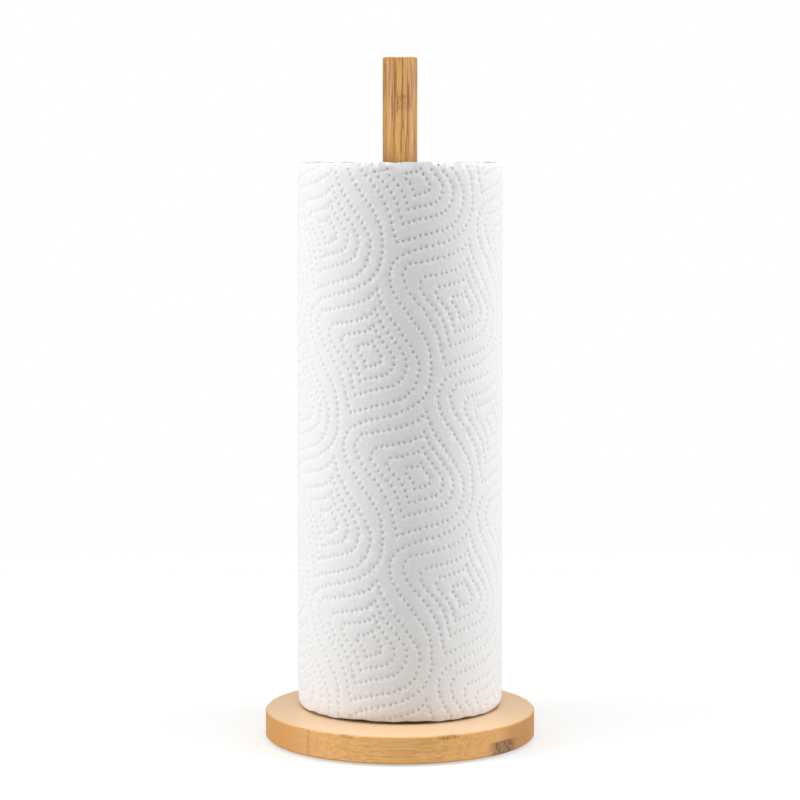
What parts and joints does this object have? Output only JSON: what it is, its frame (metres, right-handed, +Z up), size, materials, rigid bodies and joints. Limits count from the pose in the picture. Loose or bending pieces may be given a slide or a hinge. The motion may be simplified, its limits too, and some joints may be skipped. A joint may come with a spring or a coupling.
{
  "type": "paper towel holder",
  "caption": "Free-standing bamboo kitchen-roll holder: a round two-ply base carries an upright dowel on which a roll of embossed paper towel stands, turns and lifts off.",
  "frame": {"origin": "centre of the underside of the foot pads, on the post's axis, where the holder stands on a table", "axes": "+Z up along the post, -Y towards the viewer (the front), +X to the viewer's right"},
  "size_m": [0.14, 0.14, 0.3515],
  "materials": {
    "bamboo_base": "satin",
    "bamboo_post": "satin",
    "brass": "satin",
    "zinc_steel": "satin",
    "pad_foam": "matte",
    "core_board": "matte",
    "wound_towel": "matte",
    "towel_sheet": "matte"
  },
  "bodies": {
    "holder": {"base_lower_ply": "bamboo_base", "base_upper_ply": "bamboo_base", "post": "bamboo_post", "threaded_insert": "brass", "bolt": "zinc_steel", "washer": "zinc_steel", "foot_pad_1": "pad_foam", "foot_pad_2": "pad_foam", "foot_pad_3": "pad_foam", "foot_pad_4": "pad_foam"},
    "roll_core": {"core_inner_ply": "core_board", "core_outer_ply": "core_board"},
    "roll_paper": {"paper_winding": "wound_towel", "second_sheet": "towel_sheet", "tail_sheet": "towel_sheet"}
  },
  "joints": [
    {"name": "roll_lift", "type": "slide", "parent": "holder", "child": "roll_core", "axis": [0, 0, 1], "range_m": [0, 0.34]},
    {"name": "roll_spin", "type": "hinge", "parent": "roll_core", "child": "roll_paper", "pos_m": [0, 0.01, 0.15], "axis": [0, 0, 1], "continuous": true}
  ]
}
